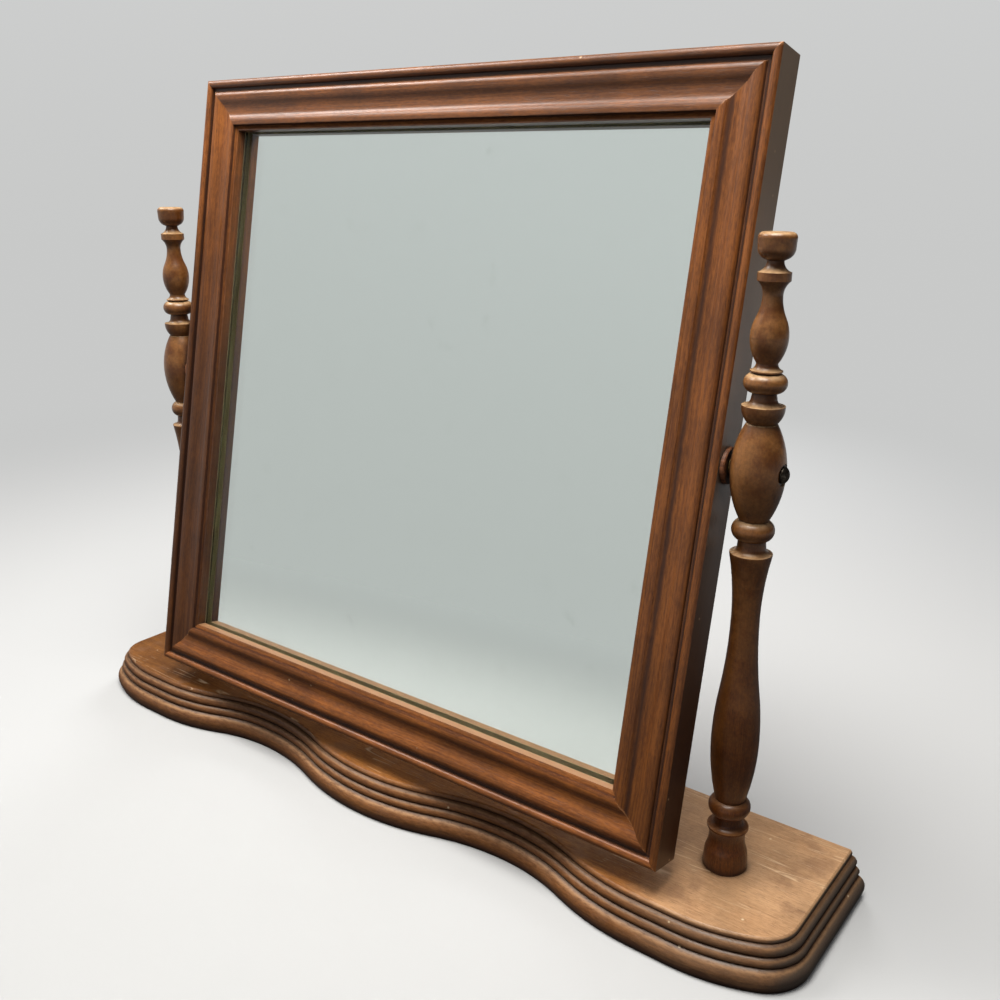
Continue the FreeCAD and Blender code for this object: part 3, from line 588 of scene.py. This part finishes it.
def post_finish(name, grain_start):
    """Brown turning, darker towards the foot, with a painted highlight on its upward ledges,
    broken by rubbing.
    """
    finish, tree, shader, at = new_finish(name)
    place = at["Object"]
    up = split(tree, place)["Z"]
    along = turned(tree, place, (grain_start, 0, 0), (0, radians(90), 0))
    wood = use(tree, STAINED_WOOD, {
        "Place": place, "Along": along,
        "Light": POST_LIGHT, "Dark": POST_DARK,
        "Streaks": 1500.0, "Waver": 0.35, "Bands": 0.2})
    marks = use(tree, TURNING_MARKS, {"Place": place, "Normal": at["Normal"]})
    high = blend(tree, marks["Patches"], PATCH_DARK, PATCH_LIGHT)
    high = blend(tree, 0.35, high, wood["Colour"])
    colour = blend(tree, span(tree, up, BASE_TOP, POST_TOP * 0.85), wood["Colour"], high)
    aged_and_shaded = use(tree, AGE_AND_SHADE, {
        "Place": place, "Colour": toned(tree, colour, marks["Crumbs"]),
        "Grime And Shade Colour": OLD_GRIME_AND_SHADE, "Worn Colour": POST_WORN,
        "Grime And Shade Share": 1.0, "Hollow Reach": 0.007})
    # painted highlight on the upward ledges, paler higher up, broken by rubbing
    pale = blend(tree, span(tree, up, BASE_TOP, POST_TOP * 0.8), LEDGE_LIGHT_LOW, LEDGE_LIGHT_HIGH)
    bump = math(tree, "ADD", math(tree, "MULTIPLY", marks["Rings"], 0.35), wood["Relief"])
    join(tree, shader.inputs, {
        "Base Color": laid(tree, aged_and_shaded["Colour"], pale, marks["Ledges"], 0.75),
        "Roughness": math(tree, "ADD", span(tree, wood["Relief"], -0.4, 0.4, 0.44, 0.34),
                          math(tree, "MULTIPLY", aged_and_shaded["Grime And Shade"], 0.3)),
        "Specular IOR Level": 0.4,
        "Coat Weight": 0.15,
        "Coat Roughness": 0.22,
        "Normal": relief(tree, bump, GRAIN_DEPTH)})
    return finish


def reed_colour(tree, place, parts, normal, top_colour):
    """The reeded edge: hatched brown, with a painted highlight and rubbing on its crests, grime
    and painted shade in its grooves, and painted shade towards its ends and on its end grain.
    """
    hatch = noise(tree, stretched(tree, place, (0.2, 0.6, 1)), 900.0, 4.0, 0.75)
    reeds = blend(tree, span(tree, hatch, 0.3, 0.7), REED_DARK, REED_LIGHT)
    reeds = blend(tree, 0.35, reeds, top_colour)
    # painted highlight and rubbing on the crests' upward faces
    reeds = laid(tree, reeds, CREST_RUB_AND_HIGHLIGHT, span(tree, normal["Z"], 0.5, 0.85),
                 span(tree, hatch, 0.3, 0.6, 0.2, 1.0))
    # dark bands at the grooves' heights: grime and painted shade
    for down in GROOVES:
        line = band(tree, parts["Z"], BASE_TOP - down - GROOVE_HALF,
                    BASE_TOP - down + GROOVE_HALF, GROOVE_SOFT)
        reeds = laid(tree, reeds, GROOVE_GRIME_AND_SHADE, line, 0.7)
    waves = noise(tree, stretched(tree, place, (1, 1, 0)), 55.0, 4.0)
    above = math(tree, "SUBTRACT", parts["Z"], math(tree, "MULTIPLY", waves, UNDER_REACH))
    reeds = laid(tree, reeds, WORN_UNDER, span(tree, above, *UNDER_SOFT, 1.0, 0.0), 0.7)
    # painted shade: the reeds darker towards both ends
    reeds = shade_along(tree, reeds, parts["X"], *REED_SHADE_LEFT, 0.9, 1.0)
    reeds = shade_along(tree, reeds, parts["X"], *REED_SHADE_RIGHT, 1.0, 0.72)
    # the end faces: end grain and painted shade
    outward = span(tree, math(tree, "ABSOLUTE", normal["X"]), 0.4, 0.8)
    return laid(tree, reeds, END_GRAIN_AND_SHADE, outward, 0.8)


def base_finish():
    """Honey board: worn cream to the right, amber to the left, painted shadow along the front
    and painted shade to the left, grime and painted shade between its reeds.
    """
    finish, tree, shader, at = new_finish("honey board")
    place = at["Object"]
    parts = split(tree, place)
    worn = use(tree, STAINED_WOOD, {
        "Place": place, "Along": place, "Light": CREAM_LIGHT, "Dark": CREAM_DARK,
        "Streaks": 1500.0, "Waver": 0.8, "Bands": 0.12})
    kept = use(tree, STAINED_WOOD, {
        "Place": place, "Along": place, "Light": AMBER_LIGHT, "Dark": AMBER_DARK,
        "Streaks": 1500.0, "Waver": 0.8, "Bands": 0.2})
    # painted shade: the amber darker towards the left end
    amber = shade_along(tree, kept["Colour"], parts["X"], *AMBER_LEFT_SHADE, 0.6, 1.0)
    left = span(tree, parts["X"], *AMBER_LEFT, 1.4, 0.1)
    # painted shadow of the frame along the front, warm as light bounced off the wood
    front = math(tree, "MULTIPLY", span(tree, parts["Y"], *AMBER_SHADOW_FRONT, 1.0, 0.0),
                 span(tree, parts["X"], *AMBER_SHADOW_SIDE, 1.0, 0.1))
    cloud = span(tree, noise(tree, place, 30.0, 4.0, 0.6), 0.3, 0.62, 0.7, 1.35)
    share = math(tree, "MULTIPLY", math(tree, "ADD", left, front), cloud, clamp=True)
    top = blend(tree, share, worn["Colour"], amber)
    stain = span(tree, noise(tree, place, 52.0, 4.0, 0.6), 0.53, 0.68, 0.0, 0.45)
    top = blend(tree, stain, top, WATER_STAIN)
    below = span(tree, parts["Z"], BASE_TOP - FLAT_EDGE[0], BASE_TOP - FLAT_EDGE[1], 1.0,
                 0.0)
    reeds = reed_colour(tree, place, parts, split(tree, at["Normal"]), top)
    colour = use(tree, AGE_AND_SHADE, {
        "Place": place, "Colour": blend(tree, below, top, reeds),
        "Grime And Shade Colour": BASE_GRIME_AND_SHADE, "Worn Colour": BASE_WORN, "Grime And Shade Share": 1.0,
        "Wear Share": 0.8, "Hollow Reach": 0.005, "Edge Reach": 0.002})["Colour"]
    specks = use(tree, FLECKS, {"Place": place, "Spacing": 150.0, "Share": 0.07})["Mask"]
    colour = laid(tree, colour, BASE_SPECK, specks, 0.7)
    dents = use(tree, FLECKS, {
        "Place": stretched(tree, place, (0.3, 1, 1)), "Spacing": 160.0,
        "Share": 0.05})["Mask"]
    colour = laid(tree, colour, DENT, dents, 0.6)
    lines = use(tree, SCRATCHES, {"Place": place, "Turn": 0.4, "Share": 0.47})["Mask"]
    crossed = use(tree, SCRATCHES, {"Place": place, "Turn": -0.8, "Share": 0.5})["Mask"]
    lines = math(tree, "MULTIPLY", math(tree, "MAXIMUM", lines, crossed),
                 math(tree, "SUBTRACT", 1.0, below))
    bump = math(tree, "SUBTRACT", worn["Relief"], math(tree, "MULTIPLY", lines, 0.8))
    bump = math(tree, "SUBTRACT", bump, math(tree, "MULTIPLY", dents, 2.0))
    join(tree, shader.inputs, {
        "Base Color": laid(tree, colour, SCRATCH, lines, 0.6),
        "Roughness": span(tree, worn["Relief"], -0.4, 0.4, 0.56, 0.44),
        "Specular IOR Level": 0.4,
        "Coat Weight": 0.1,
        "Coat Roughness": 0.3,
        "Normal": relief(tree, bump, SCRATCH_DEPTH)})
    return finish


def button_finish():
    """The small turned buttons beside the frame, dark stained."""
    finish, tree, shader, at = new_finish("button wood")
    wood = use(tree, STAINED_WOOD, {
        "Place": at["Object"], "Along": at["Object"], "Light": BUTTON_LIGHT,
        "Dark": BUTTON_DARK})
    colour = use(tree, AGE_AND_SHADE, {
        "Place": at["Object"], "Colour": wood["Colour"], "Grime And Shade Colour": BUTTON_DIRT,
        "Worn Colour": BUTTON_WORN, "Hollow Reach": 0.002})["Colour"]
    join(tree, shader.inputs, {
        "Base Color": colour, "Roughness": 0.5,
        "Normal": relief(tree, wood["Relief"], GRAIN_DEPTH)})
    return finish


def metal_finish(name, bright, dull, roughness):
    """Old metal, tarnished in patches and dirty in its hollows."""
    finish, tree, shader, at = new_finish(name)
    metal = use(tree, TARNISH, {
        "Place": at["Object"], "Bright": bright, "Dull": dull, "Roughness": roughness})
    colour = use(tree, AGE_AND_SHADE, {
        "Place": at["Object"], "Colour": metal["Colour"], "Grime And Shade Colour": METAL_DIRT,
        "Grime And Shade Share": 0.8, "Wear Share": 0.0, "Hollow Reach": 0.0015,
        "Edge Reach": 0.0004})["Colour"]
    join(tree, shader.inputs, {
        "Base Color": colour, "Metallic": 1.0, "Roughness": metal["Roughness"],
        "Normal": relief(tree, metal["Grit"], GRIT_DEPTH)})
    return finish


def glass_finish():
    """Clear old float glass, faintly green, with a trace of film."""
    finish, tree, shader, at = new_finish("mirror glass")
    film = span(tree, noise(tree, at["Object"], 22.0, 3.0), 0.5, 0.75, 0.0, 0.012)
    join(tree, shader.inputs, {
        "Base Color": GLASS_TINT, "IOR": 1.52, "Transmission Weight": 1.0,
        "Roughness": film})
    return finish


def silver_finish():
    """The silver coat, with soft patches of darkening."""
    finish, tree, shader, at = new_finish("silvering")
    bloom = span(tree, noise(tree, at["Object"], 60.0, 4.0), 0.62, 0.8, 0.0, 0.25)
    join(tree, shader.inputs, {
        "Base Color": blend(tree, bloom, SILVER, DULL_SILVER), "Metallic": 1.0,
        "Roughness": span(tree, bloom, 0.0, 0.25, 0.012, 0.03)})
    return finish


def hardboard_finish():
    """Brown pressed board: matt, mottled, with short pressed fibres."""
    finish, tree, shader, at = new_finish("pressed board")
    fibre = noise(tree, stretched(tree, at["Object"], (0.35, 1, 1)), 1500.0, 4.0, 0.7)
    cloud = span(tree, noise(tree, at["Object"], 16.0, 4.0), 0.4, 0.7, 0.0, 0.5)
    colour = blend(tree, span(tree, fibre, 0.35, 0.65), BOARD_DARK, BOARD_LIGHT)
    join(tree, shader.inputs, {
        "Base Color": blend(tree, cloud, colour, BOARD_CLOUD), "Roughness": 0.85,
        "Normal": relief(tree, fibre, FIBRE_DEPTH)})
    return finish


def dress(finish, *names):
    """Give CAD nodes their finish in every material slot."""
    for name in names:
        for slot in frame["nodes"][name].material_slots:
            slot.material = finish


def dress_nodes():
    dress(base_finish(), "base_board")
    dress(post_finish("left post", grain_start=0.0), "post_left")
    dress(post_finish("right post", grain_start=0.31), "post_right")
    # each member's end lights are painted light and shade along it
    top = frame_finish("top member", upright=False, grain_start=0.0, low_end_light=0.84,
                       high_end_light=0.62, coat=0.42, coat_rough=0.46)
    bottom = frame_finish("bottom member", upright=False, grain_start=0.4, low_end_light=0.9,
                          high_end_light=0.98)
    left = frame_finish("left member", upright=True, grain_start=0.8, low_end_light=0.4,
                        high_end_light=1.2)
    right = frame_finish("right member", upright=True, grain_start=1.2, low_end_light=0.72,
                         high_end_light=0.9, ogee_shade=0.9)
    dress(top, "top_rail")
    dress(bottom, "bottom_rail")
    dress(left, "left_stile")
    dress(right, "right_stile")
    dress(button_finish(), "pivot_spacer_left", "pivot_spacer_right")
    dress(hardboard_finish(), "backing_board")
    dress(metal_finish("dark steel", STEEL, DULL_STEEL, roughness=0.3),
          "pivot_screw_left", "pivot_screw_right", "post_screw_left", "post_screw_right",
          "mitre_nails", "backing_brads")
    dress(metal_finish("old brass", BRASS, DULL_BRASS, roughness=0.35),
          "pivot_washer_left", "pivot_washer_right", "pivot_insert_left",
          "pivot_insert_right")


# ---------------------------------------------------------------------- the pane

def piece(name, points, faces):
    mesh = bpy.data.meshes.new(name)
    mesh.from_pydata(points.tolist(), [], faces)
    mesh.update()
    made = bpy.data.objects.new(name, mesh)
    bpy.context.collection.objects.link(made)
    return made


def slab(name, low, high, arris):
    """A closed slab with ground edges, given about the pivot and hung at the tilt.

    Four rings of corners run from the back to the front.  A ring lies at its depth,
    and its corners are at plus and minus the half size less the ring's inset; the
    inset is the arris in the first and last rings and nothing in the middle two.
    """
    centre = (low + high) / 2
    half = (high - low) / 2
    inset = np.array((arris, 0, 0, arris))[:, None]
    depth = np.array((half[1], half[1] - arris, arris - half[1], -half[1]))[:, None]
    x = (half[0] - inset) * np.array((1, -1, -1, 1))
    y = depth + np.zeros(4)
    z = (half[2] - inset) * np.array((1, 1, -1, -1))
    points = np.stack((x, y, z), axis=-1).reshape(-1, 3) + centre
    ring, corner = np.meshgrid(np.arange(3), np.arange(4), indexing="ij")
    here = ring * 4 + corner
    beside = ring * 4 + (corner + 1) % 4
    sides = np.stack((here, beside, beside + 4, here + 4), axis=-1).reshape(-1, 4)
    ends = np.array(((3, 2, 1, 0), (12, 13, 14, 15)))
    return piece(name, tilted(points, -REST_TILT) + np.array(PIVOT),
                 np.concatenate((sides, ends)).tolist())


def make_glass():
    """The pane and, behind a hair's breadth of air, the silver coat on its back."""
    low, high = upright_box("mirror_glass")
    pane_high = high - np.array((0, COAT + AIR, 0))
    pane = slab("glass_pane", low, pane_high, PANE_ARRIS)
    pane.data.materials.append(glass_finish())
    coat_low = np.array((low[0] + PANE_ARRIS, high[1] - COAT, low[2] + PANE_ARRIS))
    coat_high = np.array((high[0] - PANE_ARRIS, high[1], high[2] - PANE_ARRIS))
    coat = slab("silver_coat", coat_low, coat_high, COAT / 4)
    coat.data.materials.append(silver_finish())
    for made in (pane, coat):
        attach(made, "mirror")
        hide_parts("mirror_glass")


# --------------------------------------------------------------------- the studio

def studio_finish():
    """Pale paper that takes the shadow near the object and glows plainly far off."""
    finish, tree, shader, at = new_finish("studio paper")
    path = node(tree, "LightPath").outputs
    straight = math(tree, "ADD", path["Is Camera Ray"], path["Is Transmission Ray"],
                    clamp=True)
    join(tree, shader.inputs, {
        "Base Color": blend(tree, straight, TABLE, PAPER), "Roughness": 0.9,
        "Specular IOR Level": 0.1})
    far = node(tree, "VectorMath", {0: at["Object"]}, operation="LENGTH").outputs["Value"]
    seen = math(tree, "ADD", path["Is Glossy Ray"], straight, clamp=True)
    glow = node(tree, "Emission", {"Color": BACKGROUND})
    mixed = node(tree, "MixShader", {
        0: math(tree, "MULTIPLY", span(tree, far, *GLOW), seen),
        1: shader.outputs[0], 2: glow.outputs[0]})
    tree.links.new(mixed.outputs[0], tree.nodes["Material Output"].inputs["Surface"])
    return finish


def make_floor():
    """A flat disc about the origin, closed by a fan of triangles at its middle.

    A corner lies at x = r cos(a) and y = r sin(a), where r is the floor's radius times
    the square of the ring's share of all the rings, and the angles a are even.
    """
    ring = np.linspace(0, 1, FLOOR_RINGS + 1)[1:] ** 2 * FLOOR_RADIUS
    angle = np.linspace(0, 2 * pi, FLOOR_SPOKES, endpoint=False)
    radius, turn = np.meshgrid(ring, angle, indexing="ij")
    rim = np.stack((radius * np.cos(turn), radius * np.sin(turn), 0 * turn), axis=-1)
    points = np.concatenate((rim.reshape(-1, 3), np.zeros((1, 3))))
    spoke = np.arange(FLOOR_SPOKES)
    after = (spoke + 1) % FLOOR_SPOKES
    step = np.arange(FLOOR_RINGS - 1)[:, None] * FLOOR_SPOKES
    here, beside = step + spoke, step + after
    bands = np.stack((here, here + FLOOR_SPOKES, beside + FLOOR_SPOKES, beside), axis=-1)
    middle = np.stack((np.full(FLOOR_SPOKES, len(points) - 1), spoke, after), axis=-1)
    made = piece("floor", points, bands.reshape(-1, 4).tolist() + middle.tolist())
    made.data.materials.append(studio_finish())


def make_world():
    """A pale surround where it is seen; as light and in gloss, brightest to one side."""
    world = bpy.data.worlds.new("studio")
    bpy.context.scene.world = world
    world.use_nodes = True
    tree = world.node_tree
    tree.nodes.clear()
    way = node(tree, "TexCoord").outputs["Generated"]
    up = split(tree, way)["Z"]
    ahead = node(tree, "VectorMath", {0: way, 1: BRIGHT_SIDE},
                 operation="DOT_PRODUCT").outputs["Value"]
    lift = math(tree, "ADD", up, math(tree, "MULTIPLY", ahead, 0.6))
    soft = blend(tree, span(tree, lift, -0.6, 1.1), SOFT_LOW, SOFT_HIGH)
    near = math(tree, "MULTIPLY", span(tree, ahead, 0.1, 0.7),
                span(tree, up, 0.25, 0.55, 1.0, 0.0))
    gloss = blend(tree, near, GLOSS_LOW, BACKGROUND)
    shown = blend(tree, span(tree, up, -0.1, 0.9), BACKGROUND, OVERHEAD)
    path = node(tree, "LightPath").outputs
    straight = math(tree, "ADD", path["Is Camera Ray"], path["Is Transmission Ray"],
                    clamp=True)
    shade = blend(tree, path["Is Glossy Ray"], soft, gloss)
    sky = node(tree, "Background", {"Color": blend(tree, straight, shade, shown)})
    output = node(tree, "OutputWorld", {"Surface": sky.outputs[0]})
    output.is_active_output = True


def make_lamps():
    """Square soft lamps: a broad window overhead, one to its left and one behind."""
    for name, place, size, watts, colour, highlights in LAMPS:
        light = bpy.data.lights.new(name, "AREA")
        light.size = size
        light.energy = watts
        light.color = colour
        lamp = bpy.data.objects.new(name, light)
        lamp.location = place
        aim = Vector(LAMP_AIM) - Vector(place)
        lamp.rotation_euler = aim.to_track_quat("-Z", "Y").to_euler()
        lamp.visible_camera = False
        lamp.visible_glossy = highlights
        bpy.context.collection.objects.link(lamp)


def make_camera():
    """Camera at its place, aimed by yaw and pitch and then rolled about its own line."""
    aim = Vector((-sin(CAMERA_YAW) * cos(CAMERA_PITCH),
                  cos(CAMERA_YAW) * cos(CAMERA_PITCH), sin(CAMERA_PITCH)))
    level = Vector((cos(CAMERA_YAW), sin(CAMERA_YAW), 0))
    over = level.cross(aim)
    right = level * cos(CAMERA_ROLL) + over * sin(CAMERA_ROLL)
    up = over * cos(CAMERA_ROLL) - level * sin(CAMERA_ROLL)
    data = bpy.data.cameras.new("camera")
    data.lens = LENS
    data.sensor_width = SENSOR
    data.clip_start = CLIP_START
    made = bpy.data.objects.new("camera", data)
    axes = Matrix((right, up, -aim)).transposed().to_4x4()
    made.matrix_world = Matrix.Translation(CAMERA) @ axes
    bpy.context.collection.objects.link(made)
    bpy.context.scene.camera = made


make_camera()
make_floor()
make_world()
make_lamps()
dress_nodes()
make_glass()
bpy.context.scene.view_settings.view_transform = "Standard"
